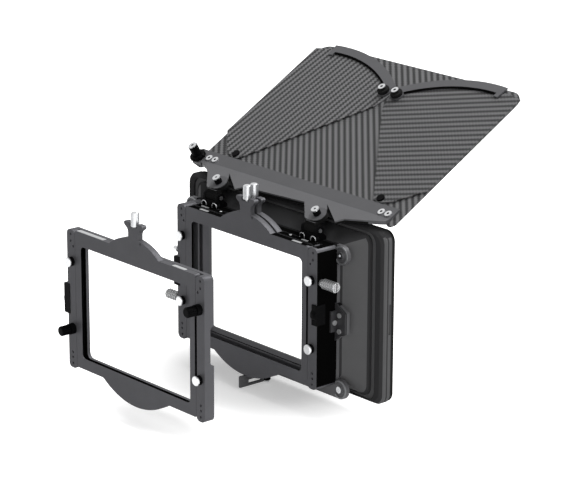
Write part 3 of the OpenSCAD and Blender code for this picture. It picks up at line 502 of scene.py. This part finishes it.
def carbon_twill(name, tow_mm, turn, light, dark):
    """2 by 2 twill whose first tows run at that turn, in degrees, in the flag's plane"""
    material, tree = new_material(name)
    place = add(tree, "ShaderNodeTexCoord").outputs["Object"]
    laid = add(tree, "ShaderNodeMapping",
               {"Rotation": (-FLAG_TILT, 0, -math.radians(turn)),
                "Scale": (1 / (tow_mm * MM),) * 3}, {"Vector": place})
    axes = split(tree, laid.outputs["Vector"])
    across, along = axes["X"], axes["Y"]
    row = maths(tree, "ADD", maths(tree, "FLOOR", across), maths(tree, "FLOOR", along))
    step = maths(tree, "FLOORED_MODULO", row, TWILL_REPEAT)
    warp_up = maths(tree, "LESS_THAN", step, TWILL_REPEAT / 2)

    def crown(position):
        """height across one tow: 1 in its middle and 0 at its edges"""
        off = maths(tree, "MULTIPLY_ADD", maths(tree, "FRACT", position), 2.0, -1.0)
        return maths(tree, "SUBTRACT", 1.0, maths(tree, "MULTIPLY", off, off))

    height = add(tree, "ShaderNodeMix", {}, {0: warp_up, 2: crown(along), 3: crown(across)})
    fibres = add(tree, "ShaderNodeTexNoise", {"Scale": TWILL_FIBRES, "Detail": 2.0},
                 {"Vector": laid.outputs["Vector"]})
    # painted sheen: the tows that run one way get the light tone, the others the dark one
    tone = add(tree, "ShaderNodeMix", {"data_type": "RGBA", 6: srgb(dark), 7: srgb(light)},
               {0: warp_up})
    shade = add(tree, "ShaderNodeMapRange",
                {"To Min": TWILL_STREAKS[0], "To Max": TWILL_STREAKS[1]},
                {"Value": fibres.outputs["Fac"]})
    streaked = add(tree, "ShaderNodeVectorMath", {"operation": "SCALE"},
                   {0: tone.outputs[2], "Scale": shade.outputs["Result"]})
    bump = add(tree, "ShaderNodeBump", {"Strength": 0.5, "Distance": TWILL_DEEP},
               {"Height": height.outputs[0]})
    skin = add(tree, "ShaderNodeBsdfPrincipled",
               {"Roughness": 0.5, "Specular IOR Level": 0.2},
               {"Base Color": streaked.outputs[0], "Normal": bump.outputs["Normal"]})
    add(tree, "ShaderNodeOutputMaterial", {}, {"Surface": skin.outputs["BSDF"]})
    return material


# each plate gets its own light and dark tone of the painted sheen
carbon_base = carbon_twill("carbon_fibre_twill_base", 1.80, -0.8, "#646465", "#272728")
carbon_left = carbon_twill("carbon_fibre_twill_left", 2.04, 128.5, "#666667", "#262627")
carbon_right = carbon_twill("carbon_fibre_twill_right", 2.03, 64.7, "#5e5e5f", "#2c2c2d")

# %% [markdown]
# ## Every solid gets its finish
# The frames and trays are dark grey, the flag's metal parts a little lighter, the fittings
# black, and the screws bright steel.

# %% Assign the finishes
FINISHES = {
    anodised_grey: ["module_frame", "stage_frame", "rear_tray", "front_tray", "stage_tray"],
    anodised_bracket: ["flag_bracket"],
    anodised_guide: ["arc_guides", "foot_arm"],
    anodised_ring: ["ear_rings"],
    anodised_flange: ["front_flange"],
    anodised_black: ["hinge_blocks", "hinge_block_screws", "hinge_caps", "wing_pivots",
                     "module_studs", "module_catch", "module_latch", "foot_knob",
                     "stage_studs", "stage_bushes", "stage_latch", "stage_knob_upper",
                     "stage_knob_lower", "side_post", "side_post_wheel"],
    anodised_smoke: ["side_post_collar", "side_brackets"],
    lock_knob_steel: ["arc_knob_left", "arc_knob_right"],
    bright_steel: ["flange_screws", "hinge_pins", "hinge_cap_rings", "module_stud_caps",
                   "module_pull_pin", "foot_stud", "rear_tray_knob", "front_tray_knob",
                   "stage_stud_caps", "stage_pull_pin", "stage_tray_knob",
                   "side_post_ring"],
    socket_screw_steel: ["flag_screws"],
    label_aluminium: ["side_bracket_screws"],
    knurled_right: ["side_screw_right"],
    knurled_left: ["side_screw_left"],
    moulded_shade: ["hood"],
    soft_rubber: ["hood_lip"],
    carbon_base: ["flag_plate"],
    carbon_left: ["wing_left"],
    carbon_right: ["wing_right"],
}
for material, names in FINISHES.items():
    for name in names:
        mesh = nodes[name].data
        mesh.materials.clear()
        mesh.materials.append(material)
unfinished = set(nodes) - {name for names in FINISHES.values() for name in names}
print("without a finish:", sorted(unfinished))

# %% [markdown]
# ## Broken edges
# Machined edges are never sharp: a light chamfer catches the light along every edge of
# the frames. The solids are loose triangles, so a Weld joins their corners first, and a
# Bevel then works on the edges whose faces really turn.

# %% Break the edges of the machined parts
MACHINED = ("module_frame", "stage_frame", "rear_tray", "front_tray", "stage_tray",
            "module_latch", "stage_latch", "module_catch", "hinge_blocks", "foot_arm")
SAME_CORNER = 0.002 * MM
BROKEN_EDGE = 0.25 * MM
SHARP_EDGE = math.radians(40)

for name in MACHINED:
    solid = nodes[name]
    weld = solid.modifiers.new("joined corners", "WELD")
    weld.merge_threshold = SAME_CORNER
    bevel = solid.modifiers.new("broken edges", "BEVEL")
    bevel.width = BROKEN_EDGE
    bevel.segments = 2
    bevel.limit_method = "ANGLE"
    bevel.angle_limit = SHARP_EDGE
    bevel.harden_normals = True

# %% [markdown]
# ## Tools for new pieces
# The fine pieces start from a primitive at its real size, are shaped in edit mode, and end
# with their place in the mesh and the object at the origin, as the solids are. These small
# helpers do the steps that every piece shares. A piece on the flag is modelled flat and
# then laid into the flag's tilted frame.

# %% Helpers for new pieces
SIDES = {"left": -1, "right": 1}
SMOOTH_BELOW = math.radians(35)
ON_FLAG = Matrix.Translation(HINGE_LINE) @ Matrix.Rotation(FLAG_TILT, 4, "X")
ON_PLATE = Matrix.Translation(PLATE_CORNER) @ Matrix.Rotation(PLATE_TILT, 4, "X")


def select_faces(piece, wanted):
    """select the faces whose centre and normal satisfy wanted, in edit mode"""
    bpy.ops.mesh.select_mode(type="FACE")
    bpy.ops.mesh.select_all(action="DESELECT")
    bpy.ops.object.mode_set(mode="OBJECT")
    for face in piece.data.polygons:
        face.select = wanted(face.center, face.normal)
    bpy.ops.object.mode_set(mode="EDIT")


def outwards():
    """turn all normals of the piece in edit mode outwards, and leave that mode"""
    bpy.ops.mesh.select_all(action="SELECT")
    bpy.ops.mesh.normals_make_consistent(inside=False)
    bpy.ops.object.mode_set(mode="OBJECT")


def settle(piece, name, material, body, matrix=Matrix.Identity(4)):
    """write the place into the mesh, then name the piece, finish it and let it ride"""
    piece.data.transform(matrix @ piece.matrix_world)
    piece.matrix_world = Matrix.Identity(4)
    piece.name = name
    piece.data.materials.clear()
    piece.data.materials.append(material)
    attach(piece, body)
    return piece


# %% [markdown]
# ## Bright rims of the hinge screws
# Each hinge block is held by two black socket screws whose rims are bare metal and catch
# the light. A ring could be a torus, but a turned rim has flat faces and a broken edge: so
# it starts as a short cylinder whose ends are opened by an inset and bridged.

# %% Rims of the hinge block screws
def turned_rim(outer_mm, inner_mm, thick_mm, chamfer_mm):
    """flat ring along Z with broken edges, standing on z = 0"""
    bpy.ops.object.select_all(action="DESELECT")
    bpy.ops.mesh.primitive_cylinder_add(vertices=40, radius=outer_mm * MM,
                                        depth=thick_mm * MM,
                                        location=(0, 0, thick_mm / 2 * MM))
    ring = bpy.context.object
    bpy.ops.object.mode_set(mode="EDIT")
    select_faces(ring, lambda c, n: abs(n.z) > LIES_FLAT)
    bpy.ops.mesh.inset(thickness=(outer_mm - inner_mm) * MM)
    bpy.ops.mesh.bridge_edge_loops()
    outwards()
    bevel = ring.modifiers.new("broken edges", "BEVEL")
    bevel.width = chamfer_mm * MM
    bevel.segments = 2
    bevel.limit_method = "ANGLE"
    bpy.ops.object.modifier_apply(modifier=bevel.name)
    bpy.ops.object.shade_smooth_by_angle(angle=SMOOTH_BELOW)
    return ring


HINGE_X = 60.2
SCREWS_OFF = {"a": -6.5, "b": 6.5}
SCREW_FACE_Y = 12.75
SCREW_Z = 58.5
RIM_OUTER, RIM_INNER, RIM_THICK, RIM_CHAMFER = 3.3, 2.55, 0.4, 0.12
TO_THE_REAR = Matrix.Rotation(math.radians(90), 4, "X")

for side_name, side in SIDES.items():
    for screw_name, off in SCREWS_OFF.items():
        rim = turned_rim(RIM_OUTER, RIM_INNER, RIM_THICK, RIM_CHAMFER)
        place = Matrix.Translation((side * HINGE_X * MM + off * MM, SCREW_FACE_Y * MM,
                                    SCREW_Z * MM))
        settle(rim, f"hinge_screw_rim_{side_name}_{screw_name}", bright_steel, "module",
               place @ TO_THE_REAR)

# %% [markdown]
# ## Painted shade under the arc guides
# Under the inner edge of each arc guide lies a thin black strip that the carbon wing
# slides past, and it shows as a thin black line: painted shade, a dark sheet put in the
# shadow gap under the guide. It is a piece of a large ring: a tall open cylinder, given a
# wall, and cut to its sector by two planes through the pivot.

# %% Painted shade strips of the arc guides
PIVOT_X, PIVOT_Y = 87.7, 51.0
SHADE_STRIP_R = 135.1
SHADE_STRIP_WIDE = 1.9
SHADE_STRIP_LOW = -4.1
SHADE_STRIP_THICK = 0.75
GUIDE_FROM = math.radians(-3.4)
GUIDE_TO = math.radians(35.6)


def cut_half(through, normal):
    """drop what lies beyond a plane and close the cut"""
    bpy.ops.mesh.select_all(action="SELECT")
    bpy.ops.mesh.bisect(plane_co=through, plane_no=normal, clear_outer=True, use_fill=True)


def make_shade_strip(side_name, side):
    """black strip of painted shade round the left wing's pivot, mirrored for the right side"""
    bpy.ops.object.select_all(action="DESELECT")
    bpy.ops.mesh.primitive_cylinder_add(
        vertices=360, radius=SHADE_STRIP_R * MM, depth=SHADE_STRIP_THICK * MM,
        end_fill_type="NOTHING", location=(0, 0, (SHADE_STRIP_LOW + SHADE_STRIP_THICK / 2) * MM))
    strip = bpy.context.object
    wall = strip.modifiers.new("wall", "SOLIDIFY")
    wall.thickness = SHADE_STRIP_WIDE * MM
    wall.offset = -1
    bpy.ops.object.modifier_apply(modifier=wall.name)
    bpy.ops.object.mode_set(mode="EDIT")
    cut_half((0, 0, 0), (-math.cos(GUIDE_FROM), math.sin(GUIDE_FROM), 0))
    cut_half((0, 0, 0), (math.cos(GUIDE_TO), -math.sin(GUIDE_TO), 0))
    bpy.ops.object.mode_set(mode="OBJECT")
    bpy.ops.object.shade_smooth_by_angle(angle=SMOOTH_BELOW)
    moved = Matrix.Translation((-PIVOT_X * MM, PIVOT_Y * MM, 0))
    mirrored = Matrix.Scale(-side, 4, (1, 0, 0))
    settle(strip, "guide_shade_strip_" + side_name, black_shade_strip, "flag",
           ON_FLAG @ mirrored @ moved)
    bpy.ops.object.mode_set(mode="EDIT")
    outwards()
    return strip


for side_name, side in SIDES.items():
    strip = make_shade_strip(side_name, side)
    print(strip.name, len(strip.data.polygons), "faces")

# %% [markdown]
# ## Bare label plates
# Each tray carries two small aluminium label plates on its top edge. They are left bare.
# Each is a thin slab with round corners: a cube, scaled to its size, whose upright edges
# are bevelled and whose top face is inset.

# %% Label plates on the trays
TRAY_TOP = 57.5
LABEL_THICK, LABEL_ROUND = 0.2, 1.0
LABELS = {
    "stage_label_left": (-73.5, -39.5, -110.6, -106.5),
    "stage_label_right": (46.0, 61.0, -110.4, -107.0),
    "rear_label_left": (-59.6, -49.4, 1.4, 4.2),
    "rear_label_right": (54.0, 64.6, 1.0, 3.8),
    "front_label_left": (-66.0, -57.0, 8.3, 10.5),
    "front_label_right": (57.0, 64.4, 8.3, 10.7),
}
SLAB_RIM = 0.15
SLAB_RISE = 0.06


def thin_slab(name, box, low, thick, round_mm, material, body,
              matrix=Matrix.Identity(4)):
    """slab over box = (x0, x1, y0, y1) and above low, all in mm, with round corners and a
    broken rim"""
    x0, x1, y0, y1 = box
    middle = Vector(((x0 + x1) / 2, (y0 + y1) / 2, low + thick / 2))
    bpy.ops.object.select_all(action="DESELECT")
    bpy.ops.mesh.primitive_cube_add(size=1, location=middle * MM)
    slab = bpy.context.object
    slab.scale = ((x1 - x0) * MM, (y1 - y0) * MM, thick * MM)
    bpy.ops.object.transform_apply(location=False, rotation=False, scale=True)
    bpy.ops.object.mode_set(mode="EDIT")
    bpy.ops.mesh.select_mode(type="EDGE")
    bpy.ops.mesh.select_all(action="DESELECT")
    bpy.ops.object.mode_set(mode="OBJECT")
    corners = [v.co for v in slab.data.vertices]
    for edge in slab.data.edges:
        a, b = (corners[i] for i in edge.vertices)
        edge.select = abs(a.z - b.z) > 0.5 * thick * MM
    bpy.ops.object.mode_set(mode="EDIT")
    bpy.ops.mesh.bevel(offset=round_mm * MM, segments=5)
    select_faces(slab, lambda c, n: n.z > LIES_FLAT)
    bpy.ops.mesh.inset(thickness=SLAB_RIM * MM, depth=SLAB_RISE * MM)
    bpy.ops.object.mode_set(mode="OBJECT")
    return settle(slab, name, material, body, matrix)


for name, box in LABELS.items():
    tray = name.split("_")[0] + "_tray"
    thin_slab(name, box, TRAY_TOP, LABEL_THICK, LABEL_ROUND, label_aluminium, tray)

# %% [markdown]
# ## Screws of the front tray
# Two small bright screws stand in the top edge of the front tray, beside the label plates.
# Each is a short cylinder whose top face is inset twice and sunk to a socket.

# %% Screws in the front tray's top edge
SCREW_X, SCREW_Y = 42.6, 10.4
SCREW_R, SCREW_HIGH = 1.3, 0.5
SCREW_CHAMFER = (0.12, 0.1)
SCREW_LAND = 0.5
SOCKET_WALL = (0.02, -0.35)


def small_screw(name, x):
    """screw head on the front tray's top edge, with a sunk socket"""
    place = Vector((x, SCREW_Y, TRAY_TOP + SCREW_HIGH / 2))
    bpy.ops.object.select_all(action="DESELECT")
    bpy.ops.mesh.primitive_cylinder_add(vertices=32, radius=SCREW_R * MM,
                                        depth=SCREW_HIGH * MM, location=place * MM)
    screw = bpy.context.object
    bpy.ops.object.mode_set(mode="EDIT")
    select_faces(screw, lambda c, n: n.z > LIES_FLAT)
    bpy.ops.mesh.inset(thickness=SCREW_CHAMFER[0] * MM, depth=SCREW_CHAMFER[1] * MM)
    bpy.ops.mesh.inset(thickness=SCREW_LAND * MM)
    bpy.ops.mesh.inset(thickness=SOCKET_WALL[0] * MM, depth=SOCKET_WALL[1] * MM)
    bpy.ops.object.mode_set(mode="OBJECT")
    bpy.ops.object.shade_smooth_by_angle(angle=SMOOTH_BELOW)
    return settle(screw, name, bright_steel, "front_tray")


for side_name, side in SIDES.items():
    small_screw("front_tray_screw_" + side_name, side * SCREW_X)

# %% [markdown]
# ## Painted shade pads under the bracket
# Right of each hinge lobe the bracket's plate has a deep notch, and no light comes through
# it in the photograph. A thin black pad under the plate closes the notch's tip: painted
# shade, a dark sheet put where the notch shows only the shade under the plate.

# %% Painted shade pads under the notches
SHADE_PAD_LEFT, SHADE_PAD_RIGHT = 15, 8
SHADE_PAD_Y = (17.5, 31.5)
SHADE_PAD_LOW, SHADE_PAD_THICK, SHADE_PAD_ROUND = -3.8, 0.7, 2.0

for side_name, side in SIDES.items():
    middle = side * HINGE_X
    thin_slab("notch_shade_pad_" + side_name, (middle - SHADE_PAD_LEFT, middle + SHADE_PAD_RIGHT, *SHADE_PAD_Y),
              # the pad is painted shade and takes the black rubber finish of the hood's lip
              SHADE_PAD_LOW, SHADE_PAD_THICK, SHADE_PAD_ROUND, soft_rubber, "flag", ON_PLATE)

# %% [markdown]
# ## The studio
# The photograph shows a white sweep that fills the picture, with only a soft shadow under
# the frames. A single pale floor does that: it is part white paper that the lamps light,
# and part a glow that only the camera and reflections see, so the shadow stays and the
# rest is white. The glow is lowered in two fixed ovals under the module and the stage, so
# that shadow shows only there, and under the stage the floor is a painted shadow.

# %% The white floor
FLOOR_Z = -0.083
FLOOR_SIZE = 14
PAPER_FIBRES = 400.0
# ovals where the glow is lowered: middle in x and y, half width and half depth in mm, and
# the glow that is left there; each is full within the core, a part of its size. In the
# module's oval the lamps' shadow shows and nowhere else; in the stage's oval the glow is
# low enough to be a painted shadow, grey where no shadow falls
MODULE_SHADE = (-15, 20, 140, 110, 0.42)
STAGE_PAINTED_SHADOW = (4, -93, 95, 34, 0.3)
SHADE_CORE = 0.3


def seen_directly(tree):
    """1 for the rays that the camera, a reflection or a clear surface sends out"""
    rays = add(tree, "ShaderNodeLightPath").outputs
    return any_of(tree, rays["Is Camera Ray"], rays["Is Glossy Ray"],
                  rays["Is Transmission Ray"])


def off_spot(tree, place, x_mm, y_mm, wide_mm, deep_mm, least):
    """least in the middle of an oval on the floor, and 1 outside it"""
    laid = add(tree, "ShaderNodeMapping",
               {"vector_type": "TEXTURE", "Location": (x_mm * MM, y_mm * MM, 0),
                "Scale": (wide_mm * MM, deep_mm * MM, 1)}, {"Vector": place})
    away = add(tree, "ShaderNodeVectorMath", {"operation": "LENGTH"},
               {0: laid.outputs["Vector"]})
    return add(tree, "ShaderNodeMapRange",
               {"interpolation_type": "SMOOTHSTEP", "From Min": SHADE_CORE,
                "From Max": 1.0, "To Min": least},
               {"Value": away.outputs["Value"]}).outputs["Result"]


bpy.ops.object.select_all(action="DESELECT")
bpy.ops.mesh.primitive_plane_add(size=FLOOR_SIZE, location=(0, 0, FLOOR_Z))
floor = bpy.context.object
floor.name = "studio_floor"
paper, tree = new_material("white_paper_sweep")
place = add(tree, "ShaderNodeTexCoord").outputs["Object"]
fibre = add(tree, "ShaderNodeTexNoise", {"Scale": PAPER_FIBRES, "Detail": 2.0},
            {"Vector": place})
paper_tone = add(tree, "ShaderNodeMix",
                 {"data_type": "RGBA", 6: srgb("#dcdcdc"), 7: srgb("#e0e0e0")},
                 {0: fibre.outputs["Fac"]})
lit = add(tree, "ShaderNodeBsdfDiffuse", {}, {"Color": paper_tone.outputs[2]})
# painted shadow: the glow is lowered in fixed ovals under the module and the stage
open_paper = all_of(tree, off_spot(tree, place, *MODULE_SHADE),
                    off_spot(tree, place, *STAGE_PAINTED_SHADOW))
glow = add(tree, "ShaderNodeEmission", {},
           {"Strength": all_of(tree, seen_directly(tree), open_paper)})
both = add(tree, "ShaderNodeAddShader", {}, {0: lit.outputs[0], 1: glow.outputs[0]})
add(tree, "ShaderNodeOutputMaterial", {}, {"Surface": both.outputs[0]})
floor.data.materials.append(paper)

# %% [markdown]
# The sky is white for the camera and in reflections, so that the picture has no horizon,
# but it gives hardly any light: the lamps do that.

# %% Sky of the studio
SKY_LIGHT = 0.08

world = bpy.data.worlds.new("studio")
bpy.context.scene.world = world
world.use_nodes = True
tree = world.node_tree
tree.nodes.clear()
level = add(tree, "ShaderNodeMapRange", {"To Min": SKY_LIGHT, "To Max": 1.0},
            {"Value": seen_directly(tree)})
sky = add(tree, "ShaderNodeBackground", {"Color": (1, 1, 1, 1)},
          {"Strength": level.outputs["Result"]})
add(tree, "ShaderNodeOutputWorld", {}, {"Surface": sky.outputs[0]})

# %% [markdown]
# ## Lamps
# Four large soft lamps. The strongest stands in front of the matte box and above it: it
# lights the upper side of the flag, which then shades the tops. One hangs straight above,
# one opens the right sides, and a weak one beside the camera lights the rear faces.

# %% Soft lamps
LAMPS = {  # place in metres, side of the square in metres, watts
    "front_top_lamp": ((0.3, 0.95, 1.5), 1.0, 36),
    "top_lamp": ((0.05, -0.08, 1.9), 1.0, 11),
    "right_lamp": ((1.9, -0.35, 0.9), 1.2, 15),
    "camera_lamp": ((1.1, -1.7, 0.6), 1.2, 9),
}

for name, (place, size, watts) in LAMPS.items():
    bpy.ops.object.select_all(action="DESELECT")
    bpy.ops.object.light_add(type="AREA", location=place)
    lamp = bpy.context.object
    lamp.name = name
    lamp.data.shape = "SQUARE"
    lamp.data.size = size
    lamp.data.energy = watts
    lamp.rotation_euler = (-Vector(place)).to_track_quat("-Z", "Y").to_euler()

bpy.context.scene.view_settings.view_transform = "Standard"
